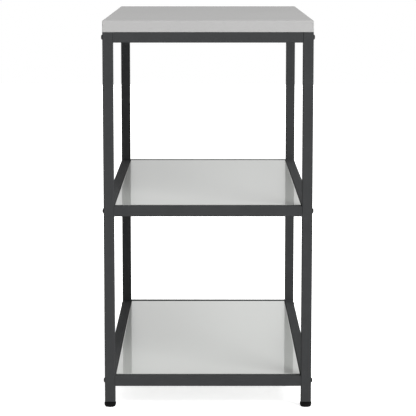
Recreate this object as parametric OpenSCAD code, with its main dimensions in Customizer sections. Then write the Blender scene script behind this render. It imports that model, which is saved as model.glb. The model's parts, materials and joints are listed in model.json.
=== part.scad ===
// Three-tier potting bench. A square-tube steel frame of two welded side frames joined by bolted
// end rails carries a thick sheet-clad worktop and two folded sheet-steel shelves, and stands on
// four screw-adjusted levelling feet.
// The origin is on the floor under the middle of the bench: X runs across its width, +Y along its
// length to the back end, +Z up. All lengths are in millimetres.

/* [Overall size] */
// Width over the outer faces of the legs, along X
bench_w = 500; // [400:10:700]
// Length over the outer faces of the legs, along Y
bench_l = 1000; // [800:10:1400]
// Underside of the lowest rails above the floor
first_rail_z = 52; // [45:1:150]
// Clear height between the rails of one level and the next
level_gap = 390; // [250:5:450]

/* [Frame tube] */
// Side of the square tube
tube = 25; // [25:1:40]
// Wall thickness of the tube
tube_wall = 1.5; // [1:0.1:1.6]
// Outside corner radius of the tube
tube_corner_r = 2; // [1.8:0.1:3]

/* [Worktop] */
// Thickness of the whole worktop
worktop_t = 27; // [20:1:40]
// Thickness of the folded sheet over the worktop's core
skin_t = 1; // [0.8:0.1:1.5]

/* [Shelves] */
// Thickness of the shelf sheet
sheet_t = 1; // [0.8:0.1:1.5]
// Gap between a shelf and the rails around it
shelf_gap = 1; // [0.5:0.1:2]
// Depth of a shelf's down-turned flanges
flange_h = 15; // [12:1:18]
// Width of the lip turned in along the bottom of the long flanges
lip_w = 12; // [10:1:13]
// Width of a channel-shaped stiffener under a shelf
stiffener_w = 30; // [20:1:50]
// Distance of each stiffener from the middle of the shelf
stiffener_y = 160; // [80:5:180]

/* [Bolts and screws] */
// Thread diameter of the frame bolts
bolt_d = 6; // [5:1:6]
// Length of a frame bolt under its head
bolt_l = 40; // [36:1:42]
// Diameter of a frame bolt's domed head
bolt_head_d = 12; // [10:0.5:14]
// Height of a frame bolt's domed head
bolt_head_h = 3.2; // [3:0.1:4]
// Width across the flats of the bolt head's hexagon socket
bolt_key = 4; // [3:0.5:4]
// Thread diameter of the shelf and worktop screws
screw_d = 4; // [3:0.5:4]

/* [Support lugs] */
// Length of a lug along its rail
lug_l = 30; // [25:1:50]
// Distance that a lug stands in from its rail
lug_w = 15; // [14:1:20]
// Thickness of a lug
lug_t = 3; // [2:0.5:4]
// Spacing of the lugs along a rail
lug_spacing = 350; // [250:10:370]

/* [Levelling feet] */
// Height of the legs' cut ends above the floor with the feet screwed fully in
leg_clear = 13.5; // [13.5:0.5:16]
// Diameter of a foot's turning pad
pad_d = 28.5; // [26:0.5:36]
// Thread diameter of a foot's stud
stud_d = 8; // [8:1:10]

/* [Hidden] */
$fn = 64;

// Sides and ends, as signs along X and Y
LEFT = -1;
RIGHT = 1;
FRONT = -1;
BACK = 1;
ENDS = [FRONT, BACK];
SIDES = [LEFT, RIGHT];
// Levels of the frame, counted from the floor
BOTTOM = 0;
MIDDLE = 1;
TOP = 2;
LEVELS = [BOTTOM, MIDDLE, TOP];

coat = "#464748";
gloss_sheet = "#cdd0cc";
matt_sheet = "#bcbcba";
board = "#adada8";
zinc = "#b4b6b8";
black = "#1c1c1d";

// A small overlap that lets a cut pass clean through a face
eps = 1;
// Distance of the leg and rail centre lines from the middle of the bench
leg_x = (bench_w - tube) / 2;
leg_y = (bench_l - tube) / 2;
// Distance of the rails' inner faces from the middle of the bench
inner_x = bench_w / 2 - tube;
inner_y = bench_l / 2 - tube;
tube_inner = tube - 2 * tube_wall;
tube_inner_r = tube_corner_r - tube_wall;
frame_top = level_z(TOP) + tube;

// Underside of the rails of one level
function level_z(level) = first_rail_z + level * (level_gap + tube);
// Height of the rails' centre lines at one level
function rail_z(level) = level_z(level) + tube / 2;
// Places of the three lugs along a rail
function lug_places() = [for (i = [-1:1]) i * lug_spacing];

// Bolt fits: clearance hole in a leg, and tapped hole in a plug
bolt_clearance = 0.6;
bolt_tap_gap = 0.1;
bolt_hole_d = bolt_d + bolt_clearance;
bolt_tapped_d = bolt_d + bolt_tap_gap;
plug_l = 18;
socket_depth = 2;
// Length of a bolt's shank that is buried in its head
shank_root = 0.5;

// Shelf screws and worktop screws share their head
screw_head_d = 2 * screw_d;
screw_head_h = 2.4;
screw_fit = 0.2;
shelf_screw_l = 8;
worktop_screw_l = 20;
pilot_gap = 1;
lug_hole_gap = 0.5;
lug_hole_d = screw_d + lug_hole_gap;
// Distance of a screw's axis from its rail's inner face
screw_in = 8;
lug_corner = 4;

// Shelf outline
shelf_w = 2 * (inner_x - shelf_gap);
shelf_l = 2 * (inner_y - shelf_gap);
// Distance of a stiffener's lower edges above the shelf's own lower edge
stiffener_lift = 2;
stiffener_h = flange_h - sheet_t - stiffener_lift;
stiffener_end_gap = 1;

// Levelling foot, from the floor up
sole_t = 2;
sole_d = 25;
sole_edge = 0.6;
spigot_d = 8;
spigot_h = 2.8;
swivel_gap = 0.1;
insert_flange_t = 2;
insert_l = 22;
rib_depth = 2.5;
insert_core = tube_inner - 2 * rib_depth;
rib_t = 1.2;
rib_pitch = 5;
stop_gap = 0.3;
pad_z = sole_t + swivel_gap;
pad_h = leg_clear - insert_flange_t - stop_gap - pad_z;
pad_bottom_r = 2.5;
pad_top_r = 1.5;
recess_h = 3;
// Thickness of the pad between its recess and the stud's head
pad_web = 0.5;
hex_z = pad_z + recess_h + pad_web;
hex_h = 4;
hex_af = 13;
// Distance of the stud's end below the top of its insert
stud_end_gap = 1.5;
stud_top = leg_clear + insert_l - stud_end_gap;
stud_clearance = 0.05;
stud_chamfer = 1;
pad_hole_gap = 0.3;

// Square with round corners, centred
module rounded_square(side, r) {
    square([side - 2 * r, side], center = true);
    square([side, side - 2 * r], center = true);
    for (x = SIDES, y = ENDS)
        translate([x * (side / 2 - r), y * (side / 2 - r)])
            circle(r);
}

// Hexagonal prism, measured across its flats
module hexagon(across_flats, h) {
    cylinder(d = across_flats / cos(30), h = h, $fn = 6);
}

// Length of square tube, standing on the XY plane
module square_tube(length) {
    linear_extrude(length)
        difference() {
            rounded_square(tube, tube_corner_r);
            rounded_square(tube_inner, tube_inner_r);
        }
}

// Leg, cross-drilled for the frame bolts at every level
module leg(side, end) {
    color(coat)
        difference() {
            translate([side * leg_x, end * leg_y, leg_clear])
                square_tube(frame_top - leg_clear);
            for (level = LEVELS)
                translate([side * leg_x, end * leg_y, rail_z(level)])
                    rotate([0, 90, 0])
                        cylinder(d = bolt_hole_d, h = tube + 2 * eps, center = true);
        }
}

// Long rail, welded between the two legs of a side
module side_rail(side, level) {
    color(coat)
        translate([side * leg_x, inner_y, rail_z(level)])
            rotate([90, 0, 0])
                square_tube(2 * inner_y);
}

// Short rail, bolted between the legs of an end
module end_rail(end, level) {
    color(coat)
        translate([-inner_x, end * leg_y, rail_z(level)])
            rotate([0, 90, 0])
                square_tube(2 * inner_x);
}

// Tapped plugs fixed in both ends of the three end rails of one end
module end_rail_plugs(end) {
    color(zinc)
        for (side = SIDES, level = LEVELS)
            translate([side * inner_x, end * leg_y, rail_z(level)])
                rotate([0, -side * 90, 0])
                    tapped_plug();
}

module tapped_plug() {
    difference() {
        linear_extrude(plug_l)
            rounded_square(tube_inner, tube_inner_r);
        translate([0, 0, -eps])
            cylinder(d = bolt_tapped_d, h = plug_l + 2 * eps);
    }
}

// The six bolts of one side, each through a leg into an end rail's plug
module frame_bolts(side) {
    color(black)
        for (end = ENDS, level = LEVELS)
            translate([side * bench_w / 2, end * leg_y, rail_z(level)])
                rotate([0, side * 90, 0])
                    domed_bolt();
}

// Domed bolt: its head seats on the XY plane and its shank points down
module domed_bolt() {
    dome_r = (pow(bolt_head_h, 2) + pow(bolt_head_d / 2, 2)) / (2 * bolt_head_h);
    difference() {
        union() {
            intersection() {
                cylinder(d = bolt_head_d, h = bolt_head_h);
                translate([0, 0, bolt_head_h - dome_r])
                    sphere(dome_r);
            }
            translate([0, 0, -bolt_l])
                cylinder(d = bolt_d, h = bolt_l + shank_root);
        }
        translate([0, 0, bolt_head_h - socket_depth])
            hexagon(bolt_key, socket_depth + eps);
    }
}

// Row of lugs welded to both side rails of a level, with their top faces at z
module lug_rows(z) {
    for (side = SIDES, y = lug_places())
        translate([side * inner_x, y, z - lug_t])
            rotate([0, 0, 90 + side * 90])
                lug();
}

// Lug: a drilled plate that stands out along +X from the YZ plane, with cut corners
module lug() {
    difference() {
        linear_extrude(lug_t)
            polygon([
                [0, -lug_l / 2],
                [lug_w - lug_corner, -lug_l / 2],
                [lug_w, -lug_l / 2 + lug_corner],
                [lug_w, lug_l / 2 - lug_corner],
                [lug_w - lug_corner, lug_l / 2],
                [0, lug_l / 2]
            ]);
        translate([screw_in, 0, -eps])
            cylinder(d = lug_hole_d, h = lug_t + 2 * eps);
    }
}

module shelf_lugs(level) {
    color(coat)
        lug_rows(shelf_seat_z(level));
}

module worktop_tabs() {
    color(coat)
        lug_rows(frame_top);
}

// Height at which a shelf's lips rest on the lugs
function shelf_seat_z(level) = level_z(level) + tube - flange_h;

// Shelf: a sheet flush with the rails, with flanges down all round and lips along the long ones
module shelf(level) {
    color(gloss_sheet)
        translate([0, 0, shelf_seat_z(level)])
            difference() {
                translate([-shelf_w / 2, -shelf_l / 2, 0])
                    cube([shelf_w, shelf_l, flange_h]);
                translate([-shelf_w / 2 + sheet_t, -shelf_l / 2 + sheet_t, sheet_t])
                    cube([shelf_w - 2 * sheet_t, shelf_l - 2 * sheet_t, flange_h - 2 * sheet_t]);
                translate([-shelf_w / 2 + lip_w, -shelf_l / 2 + sheet_t, -eps])
                    cube([shelf_w - 2 * lip_w, shelf_l - 2 * sheet_t, sheet_t + 2 * eps]);
                for (side = SIDES, y = lug_places())
                    translate([side * (inner_x - screw_in), y, -eps])
                        cylinder(d = screw_d + screw_fit, h = sheet_t + 2 * eps);
            }
}

// Two channels spot-welded under a shelf, open downwards
module shelf_stiffeners(level) {
    length = shelf_w - 2 * (sheet_t + stiffener_end_gap);
    top = level_z(level) + tube - sheet_t;
    color(gloss_sheet)
        for (end = ENDS)
            translate([-length / 2, end * stiffener_y, top])
                rotate([90, 0, 90])
                    linear_extrude(length)
                        difference() {
                            translate([-stiffener_w / 2, -stiffener_h])
                                square([stiffener_w, stiffener_h]);
                            translate([-stiffener_w / 2 + sheet_t, -stiffener_h - eps])
                                square([stiffener_w - 2 * sheet_t, stiffener_h + eps - sheet_t]);
                        }
}

// Screws driven up through a row of lugs
module screw_rows(z, length) {
    color(zinc)
        for (side = SIDES, y = lug_places())
            translate([side * (inner_x - screw_in), y, z - lug_t])
                pan_screw(length);
}

// Pan-head screw with a cross recess: its head seats under the XY plane, its shank points up
module pan_screw(length) {
    // Diameter of the head's outer face, inside its sloping edge
    face_d = 0.8 * screw_head_d;
    recess_l = 0.55 * screw_head_d;
    recess_w = 0.9;
    recess_depth = 1.4;
    difference() {
        union() {
            translate([0, 0, -screw_head_h])
                cylinder(d1 = face_d, d2 = screw_head_d, h = screw_head_h / 2);
            translate([0, 0, -screw_head_h / 2])
                cylinder(d = screw_head_d, h = screw_head_h / 2);
            translate([0, 0, -screw_head_h / 2])
                cylinder(d = screw_d, h = length + screw_head_h / 2);
        }
        for (turn = [0, 90])
            rotate([0, 0, turn])
                translate([-recess_l / 2, -recess_w / 2, -screw_head_h - eps])
                    cube([recess_l, recess_w, recess_depth + eps]);
    }
}

module shelf_screws(level) {
    screw_rows(shelf_seat_z(level), shelf_screw_l);
}

module worktop_screws() {
    screw_rows(frame_top, worktop_screw_l);
}

// Board core of the worktop, with pilot holes for its screws
module worktop_core() {
    // Depth of a pilot hole, a little past the screw's point
    pilot_h = worktop_screw_l - lug_t + pilot_gap;
    color(board)
        difference() {
            translate([-bench_w / 2 + skin_t, -bench_l / 2 + skin_t, frame_top])
                cube([bench_w - 2 * skin_t, bench_l - 2 * skin_t, worktop_t - skin_t]);
            for (side = SIDES, y = lug_places())
                translate([side * (inner_x - screw_in), y, frame_top - eps])
                    cylinder(d = screw_d + screw_fit, h = pilot_h + eps);
        }
}

// Sheet folded over the top and all four edges of the core
module worktop_skin() {
    color(matt_sheet)
        difference() {
            translate([-bench_w / 2, -bench_l / 2, frame_top])
                cube([bench_w, bench_l, worktop_t]);
            translate([-bench_w / 2 + skin_t, -bench_l / 2 + skin_t, frame_top - eps])
                cube([bench_w - 2 * skin_t, bench_l - 2 * skin_t, worktop_t - skin_t + eps]);
        }
}

// Tapped insert in the bottom of a leg: a flange, a core and the ribs that grip the tube
module foot_insert(side, end) {
    color(black)
        translate([side * leg_x, end * leg_y, leg_clear])
            difference() {
                union() {
                    translate([0, 0, -insert_flange_t])
                        linear_extrude(insert_flange_t)
                            rounded_square(tube, tube_corner_r);
                    linear_extrude(insert_l)
                        square(insert_core, center = true);
                    for (z = [rib_pitch / 2:rib_pitch:insert_l - rib_t])
                        translate([0, 0, z])
                            linear_extrude(rib_t)
                                rounded_square(tube_inner, tube_inner_r);
                }
                translate([0, 0, -insert_flange_t - eps])
                    cylinder(d = stud_d, h = insert_l + insert_flange_t + 2 * eps);
            }
}

// Stud of a levelling foot, with the hexagonal head that the pad is moulded on
module foot_stud(side, end) {
    color(zinc)
        translate([side * leg_x, end * leg_y, 0]) {
            r = stud_d / 2 - stud_clearance;
            translate([0, 0, hex_z])
                hexagon(hex_af, hex_h);
            translate([0, 0, hex_z + hex_h / 2])
                cylinder(r = r, h = stud_top - stud_chamfer - hex_z - hex_h / 2);
            translate([0, 0, stud_top - stud_chamfer])
                cylinder(r1 = r, r2 = r - stud_chamfer, h = stud_chamfer);
        }
}

// Round pad turned by hand to screw the stud in or out
module foot_pad(side, end) {
    color(black)
        translate([side * leg_x, end * leg_y, pad_z])
            difference() {
                rotate_extrude()
                    pad_profile();
                translate([0, 0, -eps])
                    cylinder(d = spigot_d + swivel_gap, h = recess_h + eps);
                translate([0, 0, hex_z - pad_z])
                    hexagon(hex_af, hex_h);
                translate([0, 0, hex_z - pad_z + hex_h / 2])
                    cylinder(d = stud_d + pad_hole_gap, h = pad_h);
            }
}

// Half section of the pad, with its round lower and upper edges
module pad_profile() {
    pad_r = pad_d / 2;
    square([pad_r - pad_bottom_r, pad_h]);
    translate([0, pad_bottom_r])
        square([pad_r, pad_h - pad_bottom_r - pad_top_r]);
    translate([0, pad_bottom_r])
        square([pad_r - pad_top_r, pad_h - pad_bottom_r]);
    translate([pad_r - pad_bottom_r, pad_bottom_r])
        circle(pad_bottom_r);
    translate([pad_r - pad_top_r, pad_h - pad_top_r])
        circle(pad_top_r);
}

// Non-slip sole that stays still on the floor while the pad turns on its spigot
module foot_sole(side, end) {
    color(black)
        translate([side * leg_x, end * leg_y, 0]) {
            cylinder(d1 = sole_d - 2 * sole_edge, d2 = sole_d, h = sole_edge);
            translate([0, 0, sole_edge])
                cylinder(d = sole_d, h = sole_t - sole_edge);
            translate([0, 0, sole_t])
                cylinder(d = spigot_d, h = spigot_h);
        }
}

leg(LEFT, FRONT);  // leg_front_left
leg(RIGHT, FRONT);  // leg_front_right
leg(LEFT, BACK);  // leg_back_left
leg(RIGHT, BACK);  // leg_back_right
side_rail(LEFT, BOTTOM);  // side_rail_left_bottom
side_rail(LEFT, MIDDLE);  // side_rail_left_middle
side_rail(LEFT, TOP);  // side_rail_left_top
side_rail(RIGHT, BOTTOM);  // side_rail_right_bottom
side_rail(RIGHT, MIDDLE);  // side_rail_right_middle
side_rail(RIGHT, TOP);  // side_rail_right_top
end_rail(FRONT, BOTTOM);  // end_rail_front_bottom
end_rail(FRONT, MIDDLE);  // end_rail_front_middle
end_rail(FRONT, TOP);  // end_rail_front_top
end_rail(BACK, BOTTOM);  // end_rail_back_bottom
end_rail(BACK, MIDDLE);  // end_rail_back_middle
end_rail(BACK, TOP);  // end_rail_back_top
end_rail_plugs(FRONT);  // end_rail_plugs_front
end_rail_plugs(BACK);  // end_rail_plugs_back
frame_bolts(LEFT);  // frame_bolts_left
frame_bolts(RIGHT);  // frame_bolts_right
shelf_lugs(BOTTOM);  // shelf_lugs_bottom
shelf_lugs(MIDDLE);  // shelf_lugs_middle
worktop_tabs();
shelf(BOTTOM);  // shelf_bottom
shelf(MIDDLE);  // shelf_middle
shelf_stiffeners(BOTTOM);  // shelf_stiffeners_bottom
shelf_stiffeners(MIDDLE);  // shelf_stiffeners_middle
shelf_screws(BOTTOM);  // shelf_screws_bottom
shelf_screws(MIDDLE);  // shelf_screws_middle
worktop_core();
worktop_skin();
worktop_screws();
foot_insert(LEFT, FRONT);  // foot_insert_front_left
foot_insert(RIGHT, FRONT);  // foot_insert_front_right
foot_insert(LEFT, BACK);  // foot_insert_back_left
foot_insert(RIGHT, BACK);  // foot_insert_back_right
foot_stud(LEFT, FRONT);  // foot_stud_front_left
foot_stud(RIGHT, FRONT);  // foot_stud_front_right
foot_stud(LEFT, BACK);  // foot_stud_back_left
foot_stud(RIGHT, BACK);  // foot_stud_back_right
foot_pad(LEFT, FRONT);  // foot_pad_front_left
foot_pad(RIGHT, FRONT);  // foot_pad_front_right
foot_pad(LEFT, BACK);  // foot_pad_back_left
foot_pad(RIGHT, BACK);  // foot_pad_back_right
foot_sole(LEFT, FRONT);  // foot_sole_front_left
foot_sole(RIGHT, FRONT);  // foot_sole_front_right
foot_sole(LEFT, BACK);  // foot_sole_back_left
foot_sole(RIGHT, BACK);  // foot_sole_back_right
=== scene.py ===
"""The looks of a three-tier potting bench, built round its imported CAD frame.

The CAD nodes keep their shapes, and the lugs, tabs and stiffeners get broken edges. Where a finer mesh
shows more than the CAD does (folded sheet, threads, bolt and screw heads) a piece made here stands for
the node. The weld beads are added.
All lengths are in metres, in the frame of the CAD part.
"""
import json
import math

import bmesh
import bpy
from mathutils import Matrix, Vector


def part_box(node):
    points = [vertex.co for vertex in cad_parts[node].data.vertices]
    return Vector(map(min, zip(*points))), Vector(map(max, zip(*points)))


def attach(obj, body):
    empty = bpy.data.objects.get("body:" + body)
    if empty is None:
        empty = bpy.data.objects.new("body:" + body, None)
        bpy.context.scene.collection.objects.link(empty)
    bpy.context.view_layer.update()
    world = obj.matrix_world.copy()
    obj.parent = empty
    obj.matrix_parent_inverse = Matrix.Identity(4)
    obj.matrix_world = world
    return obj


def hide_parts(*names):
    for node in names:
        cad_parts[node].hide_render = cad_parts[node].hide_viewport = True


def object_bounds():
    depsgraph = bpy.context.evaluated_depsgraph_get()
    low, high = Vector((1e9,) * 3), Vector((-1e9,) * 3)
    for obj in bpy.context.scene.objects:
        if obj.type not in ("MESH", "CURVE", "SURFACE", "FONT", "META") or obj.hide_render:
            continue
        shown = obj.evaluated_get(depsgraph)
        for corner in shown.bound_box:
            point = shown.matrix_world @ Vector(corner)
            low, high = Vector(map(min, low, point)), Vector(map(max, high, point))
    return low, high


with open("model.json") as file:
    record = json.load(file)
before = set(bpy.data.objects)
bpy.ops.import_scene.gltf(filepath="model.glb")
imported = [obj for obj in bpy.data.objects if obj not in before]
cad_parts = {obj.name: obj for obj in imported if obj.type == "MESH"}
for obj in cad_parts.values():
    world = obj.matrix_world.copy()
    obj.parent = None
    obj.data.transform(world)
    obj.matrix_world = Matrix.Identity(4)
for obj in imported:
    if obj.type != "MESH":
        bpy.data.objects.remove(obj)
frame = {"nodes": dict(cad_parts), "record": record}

CAD_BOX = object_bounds()
NODES = frame["nodes"]
MM = 0.001
SIDES = {"left": -1, "right": 1}
ENDS = {"front": -1, "back": 1}
FEET = [f"{end}_{side}" for end in ENDS for side in SIDES]
LEVELS = ("bottom", "middle", "top")
SMOOTH_ANGLE = 35
ALMOST_ZERO = 1e-6
SAME_POINT = 0.001 * MM


# ---------------------------------------------------------------- mesh helpers

def middle(node):
    """Centre of a node's box."""
    low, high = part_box(node)
    return (Vector(low) + Vector(high)) / 2


def half_size(node):
    """Half of a node's box along each axis."""
    low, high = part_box(node)
    return (Vector(high) - Vector(low)) / 2


def new_object(name, mesh_builder):
    """Object from a bmesh, smooth-shaded apart from its sharp edges."""
    mesh = bpy.data.meshes.new(name)
    mesh_builder.to_mesh(mesh)
    mesh_builder.free()
    mesh.shade_smooth()
    mesh.set_sharp_from_angle(angle=math.radians(SMOOTH_ANGLE))
    made = bpy.data.objects.new(name, mesh)
    bpy.context.scene.collection.objects.link(made)
    return made


def paint(made, material):
    """Gives an object one material, whatever slots it came with."""
    if made.material_slots:
        for material_slot in made.material_slots:
            material_slot.material = material
    else:
        made.data.materials.append(material)


def add_rings(bm, rings, place, segments):
    """Skins a stack of closed rings and caps both ends with a fan.

    rings is a list of (radius, z). A radius is a number or a function of the angle and z, so that a ring
    can be a hexagon, a cross or one slice of a thread. place puts the stack where it belongs."""
    angles = [2 * math.pi * i / segments for i in range(segments)]
    rows = []
    for radius, z in rings:
        row = []
        for angle in angles:
            r = radius(angle, z) if callable(radius) else radius
            row.append(bm.verts.new(place @ Vector((r * math.cos(angle), r * math.sin(angle), z))))
        rows.append(row)
    for lower, upper in zip(rows, rows[1:]):
        for i in range(segments):
            j = (i + 1) % segments
            bm.faces.new((lower[i], lower[j], upper[j], upper[i]))
    for end, turned in ((0, True), (-1, False)):
        row = rows[end]
        tip = bm.verts.new(place @ Vector((0, 0, rings[end][1])))
        for i in range(segments):
            j = (i + 1) % segments
            bm.faces.new((row[j], row[i], tip) if turned else (row[i], row[j], tip))


def hexagon(across_flats):
    """Radius of a hexagon at an angle, with corners on the X axis."""
    def radius(angle, z):
        return across_flats / 2 / math.cos((angle % (math.pi / 3)) - math.pi / 6)
    return radius


def cross(half_length, half_width):
    """Radius of a cross-shaped recess at an angle."""
    def radius(angle, z):
        across = max(abs(math.cos(angle)), ALMOST_ZERO)
        up = max(abs(math.sin(angle)), ALMOST_ZERO)
        along_x = min(half_length / across, half_width / up)
        along_y = min(half_width / across, half_length / up)
        return max(along_x, along_y)
    return radius


THREAD_CREST = 0.12
THREAD_FLANKS = 0.76


def thread(major_r, depth, pitch):
    """Radius of a right-hand thread at an angle and height.

    THREAD_CREST is the share of the pitch that its flat crest takes, and THREAD_FLANKS that of its two
    flanks. The rest is its flat root."""
    def radius(angle, z):
        phase = (z / pitch - angle / (2 * math.pi)) % 1
        from_crest = abs(2 * phase - 1)
        return major_r - depth * min(1, max(0, (from_crest - THREAD_CREST) / THREAD_FLANKS))
    return radius


def thread_rings(major_r, depth, pitch, z0, z1, per_turn=8):
    """Rings of a threaded length. It starts and ends at its root."""
    root = major_r - depth
    count = max(2, round((z1 - z0) / pitch * per_turn))
    cut = thread(major_r, depth, pitch)
    rings = [(root, z0)]
    for i in range(1, count):
        rings.append((cut, z0 + (z1 - z0) * i / count))
    rings.append((root, z1))
    return rings


def dome_rings(rim, crown, steps):
    """Rings of a quarter-round dome, from its rim to its flat crown, each given as (radius, z)."""
    (rim_r, rim_z), (crown_r, crown_z) = rim, crown
    rings = []
    for i in range(steps + 1):
        a = math.radians(90 * i / steps)
        radius = crown_r + (rim_r - crown_r) * math.cos(a)
        rings.append((radius, rim_z + (crown_z - rim_z) * math.sin(a)))
    return rings


def arc(centre, radius, start, end, steps):
    """Points (u, v) along an arc, angles in degrees."""
    points = []
    for i in range(steps + 1):
        a = math.radians(start + (end - start) * i / steps)
        points.append((centre[0] + radius * math.cos(a), centre[1] + radius * math.sin(a)))
    return points


# ---------------------------------------------------------------- node helpers

# Places of a colour Mix node's sockets, whose names its other kinds share.
MIX_FACTOR, MIX_A, MIX_B = 0, 6, 7
MIX_RESULT = 2


class Shader:
    """A Principled material and short ways to add its procedural nodes."""

    def __init__(self, name, **values):
        self.material = bpy.data.materials.new(name)
        self.material.use_nodes = True
        self.tree = self.material.node_tree
        self.surface = self.tree.nodes["Principled BSDF"]
        for socket, value in values.items():
            self.surface.inputs[socket.replace("_", " ")].default_value = value
        self.place = self.tree.nodes.new("ShaderNodeTexCoord").outputs["Object"]

    def link(self, output, target):
        """Joins an output to an input."""
        self.tree.links.new(output, target)

    def stretched(self, scale):
        """Object coordinates, scaled differently along X, Y and Z."""
        mapping = self.tree.nodes.new("ShaderNodeMapping")
        mapping.inputs["Scale"].default_value = scale
        self.link(self.place, mapping.inputs["Vector"])
        return mapping.outputs["Vector"]

    def noise(self, scale, detail, roughness=0.55, place=None):
        """Noise from 0 to 1, with about scale lumps to a metre."""
        node = self.tree.nodes.new("ShaderNodeTexNoise")
        node.inputs["Scale"].default_value = scale
        node.inputs["Detail"].default_value = detail
        node.inputs["Roughness"].default_value = roughness
        self.link(place or self.place, node.inputs["Vector"])
        return node.outputs["Fac"]

    def spread(self, source, low, high):
        """A source that runs from 0 to 1, moved into low to high."""
        node = self.tree.nodes.new("ShaderNodeMapRange")
        node.inputs["To Min"].default_value = low
        node.inputs["To Max"].default_value = high
        self.link(source, node.inputs["Value"])
        return node.outputs["Result"]

    def total(self, *sources):
        """Sum of the sources."""
        value = sources[0]
        for other in sources[1:]:
            node = self.tree.nodes.new("ShaderNodeMath")
            node.operation = "ADD"
            self.link(value, node.inputs[0])
            self.link(other, node.inputs[1])
            value = node.outputs[0]
        return value

    def blend(self, share, colour_a, colour_b):
        """Colour between two others."""
        node = self.tree.nodes.new("ShaderNodeMix")
        node.data_type = "RGBA"
        node.inputs[MIX_A].default_value = colour_a
        node.inputs[MIX_B].default_value = colour_b
        self.link(share, node.inputs[MIX_FACTOR])
        return node.outputs[MIX_RESULT]

    def bump(self, *layers):
        """Bump from (height, distance in metres) layers, one on another."""
        normal = None
        for height, distance in layers:
            node = self.tree.nodes.new("ShaderNodeBump")
            node.inputs["Strength"].default_value = 1.0
            node.inputs["Distance"].default_value = distance
            self.link(height, node.inputs["Height"])
            if normal:
                self.link(normal, node.inputs["Normal"])
            normal = node.outputs["Normal"]
        self.link(normal, self.surface.inputs["Normal"])

    def colour(self, source):
        """Base colour from a source."""
        self.link(source, self.surface.inputs["Base Color"])

    def roughness(self, source):
        """Roughness from a source."""
        self.link(source, self.surface.inputs["Roughness"])


def grey(level, warmth=0.0):
    """Linear grey, pushed towards red (or, below zero, blue) by warmth."""
    return (level * (1 + warmth), level, level * (1 - warmth), 1)


# ---------------------------------------------------------------- materials

def powder_coat():
    """Satin anthracite powder coat: orange peel, a fine grain and a faint mottle."""
    s = Shader("powder_coat", IOR=1.45, Specular_IOR_Level=0.05)
    mottle = s.noise(22, detail=4)
    grain = s.noise(900, detail=2)
    tone = s.total(s.spread(mottle, 0, 0.7), s.spread(grain, 0, 0.3))
    s.colour(s.blend(tone, grey(0.0238, -0.03), grey(0.036, -0.03)))
    s.roughness(s.spread(grain, 0.64, 0.78))
    peel = s.noise(420, detail=1)
    s.bump((peel, 0.09 * MM), (grain, 0.03 * MM))
    return s.material


def gloss_sheet():
    """Light grey metallic paint on sheet steel, under a clear coat that mirrors."""
    s = Shader("shelf_sheet", Metallic=0.5, Coat_Weight=0.65, Coat_Roughness=0.03)
    cloud = s.noise(9, detail=2)
    fine = s.noise(1300, detail=2)
    tone = s.total(s.spread(cloud, 0, 0.6), s.spread(fine, 0, 0.4))
    s.colour(s.blend(tone, (0.432, 0.444, 0.425, 1), (0.472, 0.484, 0.465, 1)))
    s.roughness(s.total(s.spread(fine, 0.30, 0.33), s.spread(cloud, 0.0, 0.03)))
    s.bump((s.noise(7, detail=1), 0.12 * MM), (fine, 0.002 * MM))
    return s.material


def matt_sheet():
    """Light grey matt-coated sheet steel with a fine sandy texture."""
    s = Shader("worktop_sheet", IOR=1.45, Specular_IOR_Level=0.25)
    cloud = s.noise(6, detail=5)
    sand = s.noise(1500, detail=3, roughness=0.7)
    tone = s.total(s.spread(cloud, 0, 0.5), s.spread(sand, 0, 0.5))
    s.colour(s.blend(tone, grey(0.245, 0.006), grey(0.285, 0.006)))
    s.roughness(s.spread(sand, 0.66, 0.82))
    s.bump((sand, 0.05 * MM))
    return s.material


def core_board():
    """Melamine-faced chipboard seen from below: pale grey, with the soft orange peel of the press."""
    s = Shader("core_board", IOR=1.45, Specular_IOR_Level=0.3)
    cloud = s.noise(14, detail=5)
    fleck = s.noise(700, detail=3)
    tone = s.total(s.spread(cloud, 0, 0.6), s.spread(fleck, 0, 0.4))
    s.colour(s.blend(tone, grey(0.36, 0.01), grey(0.44, 0.01)))
    s.roughness(s.spread(fleck, 0.42, 0.6))
    s.bump((s.noise(180, detail=2), 0.05 * MM), (fleck, 0.02 * MM))
    return s.material


def zinc_steel():
    """Bright zinc plating with fine turning marks."""
    s = Shader("zinc_steel", Metallic=1.0)
    haze = s.noise(260, detail=4)
    marks = s.noise(1.0, detail=2, place=s.stretched((300, 300, 6000)))
    s.colour(s.blend(haze, grey(0.50, -0.02), grey(0.68, -0.01)))
    s.roughness(s.spread(haze, 0.24, 0.42))
    s.bump((marks, 0.01 * MM))
    return s.material


def black_steel():
    """Black-oxide bolt steel with a slightly oily, uneven sheen."""
    s = Shader("black_steel", Metallic=1.0)
    haze = s.noise(500, detail=4)
    s.colour(s.blend(haze, grey(0.012), grey(0.035)))
    s.roughness(s.spread(haze, 0.30, 0.48))
    s.bump((s.noise(2600, detail=1), 0.008 * MM))
    return s.material


def black_plastic(name, low, high, texture):
    """Moulded black plastic or rubber, between two roughnesses, with a spark-eroded texture."""
    s = Shader(name, IOR=1.45, Specular_IOR_Level=0.06)
    cloud = s.noise(120, detail=3)
    pits = s.noise(texture, detail=1)
    s.colour(s.blend(cloud, grey(0.002), grey(0.005)))
    s.roughness(s.spread(pits, low, high))
    s.bump((pits, 0.03 * MM))
    return s.material


MATERIALS = {
    "powder_coat": powder_coat(),
    "shelf_sheet": gloss_sheet(),
    "worktop_sheet": matt_sheet(),
    "core_board": core_board(),
    "zinc_steel": zinc_steel(),
    "black_steel": black_steel(),
    "insert_plastic": black_plastic("insert_plastic", 0.45, 0.6, 1800),
    "pad_plastic": black_plastic("pad_plastic", 0.42, 0.58, 2200),
    "sole_rubber": black_plastic("sole_rubber", 0.75, 0.9, 3200),
}


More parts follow.
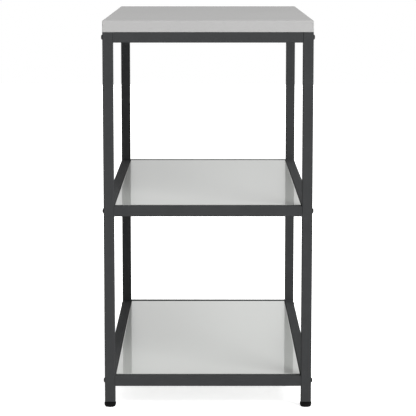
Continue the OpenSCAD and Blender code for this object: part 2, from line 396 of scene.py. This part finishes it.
def settle(made, body, slot_name, *nodes):
    """Paints a piece, puts it on its body and hides the CAD nodes it stands for."""
    paint(made, MATERIALS[slot_name])
    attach(made, body)
    if nodes:
        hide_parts(*nodes)


# ---------------------------------------------------------------- folded sheet

SHEET_T = 1.0 * MM
BEND_R = 2.0 * MM
BEND_STEPS = 6
LIP_W = 12 * MM
SEAM_GAP = 0.25 * MM
JOIN_DIST = 0.01 * MM
CUT_EDGE_R = 0.12 * MM
CUT_EDGE_ANGLE = 60
WORKTOP_EDGE_R = 1.5 * MM


def strip(bm, place, profile, columns):
    """Skins a profile of (out, z) points between neighbouring columns (positions along the strip)."""
    rows = [[bm.verts.new(place @ Vector((out, along, z))) for along in columns] for out, z in profile]
    for upper, lower in zip(rows, rows[1:]):
        for i in range(len(columns) - 1):
            bm.faces.new((upper[i], lower[i], lower[i + 1], upper[i + 1]))


def folded_tray(node):
    """Folded sheet tray the size of a node: flanges bent down all round, with open corner seams.

    The long flanges also turn in at the bottom."""
    centre, half = middle(node), half_size(node)
    top, bottom = half.z, -half.z
    bm = bmesh.new()
    corners = ((1, 1), (-1, 1), (-1, -1), (1, -1))
    flat_x, flat_y = half.x - BEND_R, half.y - BEND_R
    bm.faces.new([bm.verts.new((sx * flat_x, sy * flat_y, top)) for sx, sy in corners])
    for quarter in range(4):
        place = Matrix.Rotation(quarter * math.pi / 2, 4, "Z")
        is_long = quarter % 2 == 0
        out, along = (half.x, half.y) if is_long else (half.y, half.x)
        narrow = along - BEND_R
        wide = along - SEAM_GAP if is_long else along - SHEET_T - SEAM_GAP
        foot = bottom + BEND_R if is_long else bottom
        bend = arc((out - BEND_R, top - BEND_R), BEND_R, 90, 0, BEND_STEPS)
        strip(bm, place, bend, (-narrow, narrow))
        strip(bm, place, [(out, top - BEND_R), (out, foot)], (-wide, -narrow, narrow, wide))
        if is_long:
            turn_in = arc((out - BEND_R, foot), BEND_R, 0, -90, BEND_STEPS)
            strip(bm, place, turn_in + [(out - LIP_W, bottom)], (-narrow, narrow))
    bmesh.ops.remove_doubles(bm, verts=bm.verts, dist=JOIN_DIST)
    bmesh.ops.translate(bm, verts=bm.verts, vec=centre)
    made = new_object(f"{node}_folded", bm)
    thicken(made)
    return made


def thicken(made):
    """Gives a surface the sheet's thickness, inwards, breaks its cut edges and evens its shading."""
    solid = made.modifiers.new("thickness", "SOLIDIFY")
    solid.thickness = SHEET_T
    solid.offset = -1
    solid.use_even_offset = True
    bevel = made.modifiers.new("cut_edges", "BEVEL")
    bevel.width = CUT_EDGE_R
    bevel.segments = 2
    bevel.limit_method = "ANGLE"
    bevel.angle_limit = math.radians(CUT_EDGE_ANGLE)
    flat = made.modifiers.new("flat_faces", "WEIGHTED_NORMAL")
    flat.keep_sharp = True


def worktop_cover(node):
    """Folded worktop sheet the size of a node, with its corners welded and ground round."""
    centre, half = middle(node), half_size(node)
    bm = bmesh.new()
    bmesh.ops.create_cube(bm, size=2)
    bmesh.ops.scale(bm, verts=bm.verts, vec=half)
    under = [f for f in bm.faces if f.normal.z < -0.5]
    bmesh.ops.delete(bm, geom=under, context="FACES_ONLY")
    folds = [e for e in bm.edges if not e.is_boundary]
    bmesh.ops.bevel(
        bm, geom=folds, offset=WORKTOP_EDGE_R, segments=BEND_STEPS, profile=0.5, affect="EDGES")
    bmesh.ops.translate(bm, verts=bm.verts, vec=centre)
    made = new_object(f"{node}_folded", bm)
    thicken(made)
    return made


for shelf in ("shelf_bottom", "shelf_middle"):
    settle(folded_tray(shelf), "frame", "shelf_sheet", shelf)
settle(worktop_cover("worktop_skin"), "frame", "worktop_sheet", "worktop_skin")


# ---------------------------------------------------------------- bolts, screws and studs

# Turns that take +Z to the outside of each side.
OUTWARD = {
    "left": Matrix.Rotation(-math.pi / 2, 4, "Y"),
    "right": Matrix.Rotation(math.pi / 2, 4, "Y"),
}
BOLT_SEGMENTS = 48
SCREW_SEGMENTS = 64
COARSE_TURN = 6


def socket_bolt(bm, place):
    """M6 dome-head bolt, 40 long: head above the XY plane of place, shank below it."""
    shank_r, thread_depth, pitch = 3.0 * MM, 0.55 * MM, 1.0 * MM
    tip_r, tip_z, thread_end = 2.55 * MM, -40 * MM, -22 * MM
    chamfer, neck = 0.4 * MM, 0.1 * MM
    head_r, head_h, crown_r = 6.0 * MM, 3.2 * MM, 2.7 * MM
    rim_z, rim_round = 0.25 * MM, 0.3 * MM
    key, mouth = 4.0 * MM, 4.25 * MM
    mouth_depth, key_depth = 0.15 * MM, 1.9 * MM
    drill_r, drill_depth = 0.6 * MM, 2.3 * MM
    rings = [(tip_r, tip_z)]
    rings += thread_rings(shank_r, thread_depth, pitch, tip_z + chamfer, thread_end, COARSE_TURN)
    rings += [(shank_r, thread_end + chamfer), (shank_r, -neck), (head_r - rim_round, 0)]
    rings += dome_rings((head_r, rim_z), (crown_r, head_h), steps=8)
    rings += [(hexagon(mouth), head_h), (hexagon(key), head_h - mouth_depth)]
    rings += [(hexagon(key), head_h - key_depth), (drill_r, head_h - drill_depth)]
    add_rings(bm, rings, place, BOLT_SEGMENTS)


def pan_screw(bm, place, length):
    """M4 pan-head screw: head below the XY plane of place, shank above it."""
    shank_r, thread_depth, pitch = 2.0 * MM, 0.35 * MM, 0.7 * MM
    thread_start, thread_end = 0.4 * MM, length - 0.6 * MM
    tip_r, neck = 1.2 * MM, 0.05 * MM
    head_r, head_h, crown_r = 4.0 * MM, 2.4 * MM, 2.3 * MM
    rim_z, rim_round = -0.2 * MM, 0.2 * MM
    recess, recess_z = cross(2.2 * MM, 0.45 * MM), -head_h + 0.1 * MM
    recess_floor, floor_z = cross(1.1 * MM, 0.3 * MM), -head_h + 1.5 * MM
    rings = [(recess_floor, floor_z), (recess, recess_z)]
    rings += reversed(dome_rings((head_r, rim_z), (crown_r, -head_h), steps=6))
    rings += [(head_r - rim_round, 0), (shank_r, neck)]
    rings += thread_rings(shank_r, thread_depth, pitch, thread_start, thread_end, COARSE_TURN)
    rings.append((tip_r, length))
    add_rings(bm, rings, place, SCREW_SEGMENTS)


def stud(bm, place, bottom, top):
    """M8 levelling stud with the hexagonal head that the pad is moulded on."""
    across, chamfered, chamfer_h = 13.0 * MM, 12.2 * MM, 0.3 * MM
    head_top = bottom + 4 * MM
    neck_r, neck = 3.3 * MM, 0.05 * MM
    thread_r, thread_depth, pitch = 3.95 * MM, 0.68 * MM, 1.25 * MM
    thread_start, thread_end = head_top + 0.4 * MM, top - 0.5 * MM
    tip_r = 2.6 * MM
    rings = [(hexagon(chamfered), bottom), (hexagon(across), bottom + chamfer_h)]
    rings += [(hexagon(across), head_top - chamfer_h), (hexagon(chamfered), head_top)]
    rings.append((neck_r, head_top + neck))
    rings += thread_rings(thread_r, thread_depth, pitch, thread_start, thread_end)
    rings.append((tip_r, top))
    add_rings(bm, rings, place, BOLT_SEGMENTS)


def solid_boxes(node):
    """Lowest and highest corners of each separate solid of a node, from the loose parts of its mesh."""
    bm = bmesh.new()
    bm.from_mesh(NODES[node].data)
    bmesh.ops.remove_doubles(bm, verts=bm.verts, dist=SAME_POINT)
    seen, boxes = set(), []
    for start in bm.verts:
        if start in seen:
            continue
        seen.add(start)
        island, queue = [], [start]
        while queue:
            vert = queue.pop()
            island.append(vert.co.copy())
            for edge in vert.link_edges:
                other = edge.other_vert(vert)
                if other not in seen:
                    seen.add(other)
                    queue.append(other)
        boxes.append((Vector(map(min, *island)), Vector(map(max, *island))))
    bm.free()
    return boxes


def bolts(side):
    """The bolts of one side, where the CAD has them."""
    node = f"frame_bolts_{side}"
    bm = bmesh.new()
    leg_low, leg_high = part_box(f"leg_front_{side}")
    face = leg_high[0] if side == "right" else leg_low[0]
    for low, high in solid_boxes(node):
        seat = Vector((face, (low.y + high.y) / 2, (low.z + high.z) / 2))
        socket_bolt(bm, Matrix.Translation(seat) @ OUTWARD[side])
    settle(new_object(f"bolts_{side}", bm), "frame", "black_steel", node)


def screws(node, lugs):
    """The screws of one row of lugs, with their heads under them."""
    bm = bmesh.new()
    seat_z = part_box(lugs)[0][2]
    for low, high in solid_boxes(node):
        seat = Vector(((low.x + high.x) / 2, (low.y + high.y) / 2, seat_z))
        pan_screw(bm, Matrix.Translation(seat), high.z - seat_z)
    settle(new_object(f"{node}_threaded", bm), "frame", "zinc_steel", node)


for side in SIDES:
    bolts(side)
screws("shelf_screws_bottom", "shelf_lugs_bottom")
screws("shelf_screws_middle", "shelf_lugs_middle")
screws("worktop_screws", "worktop_tabs")

for foot in FEET:
    node = f"foot_stud_{foot}"
    low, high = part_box(node)
    axis = middle(node)
    bm = bmesh.new()
    stud(bm, Matrix.Translation((axis.x, axis.y, 0)), low[2], high[2])
    settle(new_object(f"stud_{foot}", bm), f"foot_{foot}", "zinc_steel", node)


# ---------------------------------------------------------------- weld beads

FRAME_BEAD_R = 1.9 * MM
LUG_BEAD_R = 1.5 * MM
BEAD_INSET = 2.5 * MM
RIPPLE = 2.2 * MM
RIPPLE_TROUGH = 0.86
RINGS_PER_RIPPLE = 6
FEWEST_RINGS = 8
BEAD_END = 0.45
BEAD_SEGMENTS = 14


def bead(bm, start, end, radius):
    """Fillet weld from start to end: a rounded bead with one ripple to each drop of metal.

    RIPPLE_TROUGH and BEAD_END are shares of its radius."""
    line = Vector(end) - Vector(start)
    length = line.length
    place = Matrix.Translation(start) @ line.to_track_quat("Z", "Y").to_matrix().to_4x4()
    rings = [(radius * BEAD_END, 0)]
    count = max(FEWEST_RINGS, round(length / RIPPLE * RINGS_PER_RIPPLE))
    for i in range(1, count):
        z = length * i / count
        wave = abs(math.sin(math.pi * z / RIPPLE))
        rings.append((radius * (RIPPLE_TROUGH + (1 - RIPPLE_TROUGH) * wave), z))
    rings.append((radius * BEAD_END, length))
    add_rings(bm, rings, place, BEAD_SEGMENTS)


def welds(side):
    """Beads at one side: above and below the ends of its rails, and along its lugs and tabs."""
    bm = bmesh.new()
    for level in LEVELS:
        low, high = (Vector(v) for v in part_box(f"side_rail_{side}_{level}"))
        heights = [low.z] if level == "top" else [low.z, high.z]
        for y in (low.y, high.y):
            for z in heights:
                bead(bm, (low.x + BEAD_INSET, y, z), (high.x - BEAD_INSET, y, z), FRAME_BEAD_R)
    for lugs in ("shelf_lugs_bottom", "shelf_lugs_middle", "worktop_tabs"):
        for low, high in solid_boxes(lugs):
            if (low.x + high.x) * SIDES[side] < 0:
                continue
            x = high.x if side == "right" else low.x
            bead(bm, (x, low.y + BEAD_INSET, low.z), (x, high.y - BEAD_INSET, low.z), LUG_BEAD_R)
    settle(new_object(f"welds_{side}", bm), "frame", "powder_coat")


for side in SIDES:
    welds(side)


# ---------------------------------------------------------------- CAD nodes that stay

LUG_EDGE_R = 0.5 * MM
STIFFENER_EDGE_R = 0.3 * MM
BROKEN_EDGE_ANGLE = 40


def break_edges(node, width):
    """Breaks the sharp edges of a CAD node with a small round, as deburring and paint do."""
    bevel = NODES[node].modifiers.new("broken_edges", "BEVEL")
    bevel.width = width
    bevel.segments = 3
    bevel.limit_method = "ANGLE"
    bevel.angle_limit = math.radians(BROKEN_EDGE_ANGLE)


for part in frame["record"]["subparts"]:
    paint(NODES[part["node"]], MATERIALS[part["material_slot"]])
for node in ("shelf_lugs_bottom", "shelf_lugs_middle", "worktop_tabs"):
    break_edges(node, LUG_EDGE_R)
for node in ("shelf_stiffeners_bottom", "shelf_stiffeners_middle"):
    break_edges(node, STIFFENER_EDGE_R)


# ---------------------------------------------------------------- floor, light and camera

FLOOR_HALF = 10
FLOOR_GAP = 0.3 * MM
LIGHT_DISTANCE = 12.0
BENCH_MIDDLE = (Vector(CAD_BOX[0]) + Vector(CAD_BOX[1])) / 2
# Sines of the elevations where the surroundings begin and end each change of strength.
WALL_STEP = (0.10, 0.18)
DOME_STEP = (0.25, 0.45)


def floor(seen, lighting):
    """Plain pale floor. It glows a little: seen is how much to the camera, so that it stays white round
    a soft shadow, and lighting how much on to the bench."""
    bm = bmesh.new()
    bmesh.ops.create_grid(bm, x_segments=1, y_segments=1, size=FLOOR_HALF)
    bmesh.ops.translate(bm, verts=bm.verts, vec=(0, 0, -FLOOR_GAP))
    made = new_object("floor", bm)
    s = Shader("pale_floor", Roughness=0.9, Specular_IOR_Level=0.0)
    s.surface.inputs["Base Color"].default_value = grey(0.80)
    s.surface.inputs["Emission Color"].default_value = grey(1.0)
    path = s.tree.nodes.new("ShaderNodeLightPath")
    glow = s.spread(path.outputs["Is Camera Ray"], lighting, seen)
    s.link(glow, s.surface.inputs["Emission Strength"])
    paint(made, s.material)


def surroundings(horizon, low_wall, overhead):
    """White surroundings to the camera. They light and mirror in the bench as a studio does, with one
    strength along the horizon, one a little higher and one overhead."""
    world = bpy.data.worlds.new("studio")
    bpy.context.scene.world = world
    world.use_nodes = True
    tree = world.node_tree
    background = tree.nodes["Background"]
    background.inputs["Color"].default_value = grey(1.0)
    direction = tree.nodes.new("ShaderNodeTexCoord")
    axes = tree.nodes.new("ShaderNodeSeparateXYZ")
    tree.links.new(direction.outputs["Generated"], axes.inputs["Vector"])

    def rising(source, span, low, high):
        """Goes smoothly from low, a number or a socket, to high as source crosses span."""
        step = tree.nodes.new("ShaderNodeMapRange")
        step.interpolation_type = "SMOOTHSTEP"
        step.inputs["From Min"].default_value, step.inputs["From Max"].default_value = span
        step.inputs["To Max"].default_value = high
        if isinstance(low, float):
            step.inputs["To Min"].default_value = low
        else:
            tree.links.new(low, step.inputs["To Min"])
        tree.links.new(source, step.inputs["Value"])
        return step.outputs["Result"]

    wall = rising(axes.outputs["Z"], WALL_STEP, horizon, low_wall)
    dome = rising(axes.outputs["Z"], DOME_STEP, wall, overhead)
    path = tree.nodes.new("ShaderNodeLightPath")
    strength = rising(path.outputs["Is Camera Ray"], (0.0, 1.0), dome, 1.0)
    tree.links.new(strength, background.inputs["Strength"])


def softbox(name, azimuth, elevation, size, power):
    """Square area light aimed at the bench, with no glare of its own on gloss. Azimuth 0 is in front of
    the bench, 90 to its right."""
    data = bpy.data.lights.new(name, "AREA")
    data.shape = "SQUARE"
    data.size = size
    data.energy = power
    made = bpy.data.objects.new(name, data)
    made.visible_glossy = False
    bpy.context.scene.collection.objects.link(made)
    a, e = math.radians(azimuth), math.radians(elevation)
    away = Vector((math.sin(a) * math.cos(e), -math.cos(a) * math.cos(e), math.sin(e)))
    made.location = BENCH_MIDDLE + away * LIGHT_DISTANCE
    made.rotation_euler = away.to_track_quat("Z", "Y").to_euler()


def camera(distance, height, pitch, lens):
    """Camera in front of the bench, a little above it and tipped down by pitch degrees."""
    data = bpy.data.cameras.new("camera")
    data.lens = lens
    data.sensor_width = 36
    data.clip_end = 200
    made = bpy.data.objects.new("camera", data)
    made.location = (0, -distance, height)
    made.rotation_euler = (math.radians(90 - pitch), 0, 0)
    bpy.context.scene.collection.objects.link(made)
    bpy.context.scene.camera = made


floor(seen=0.74, lighting=0.1)
surroundings(horizon=0.62, low_wall=0.96, overhead=0.6)
softbox("key", azimuth=40, elevation=37, size=5.3, power=2140)
softbox("fill", azimuth=200, elevation=25, size=6.0, power=500)
camera(distance=5.009, height=1.1197, pitch=7.977, lens=164.83)
bpy.context.scene.view_settings.view_transform = "Standard"
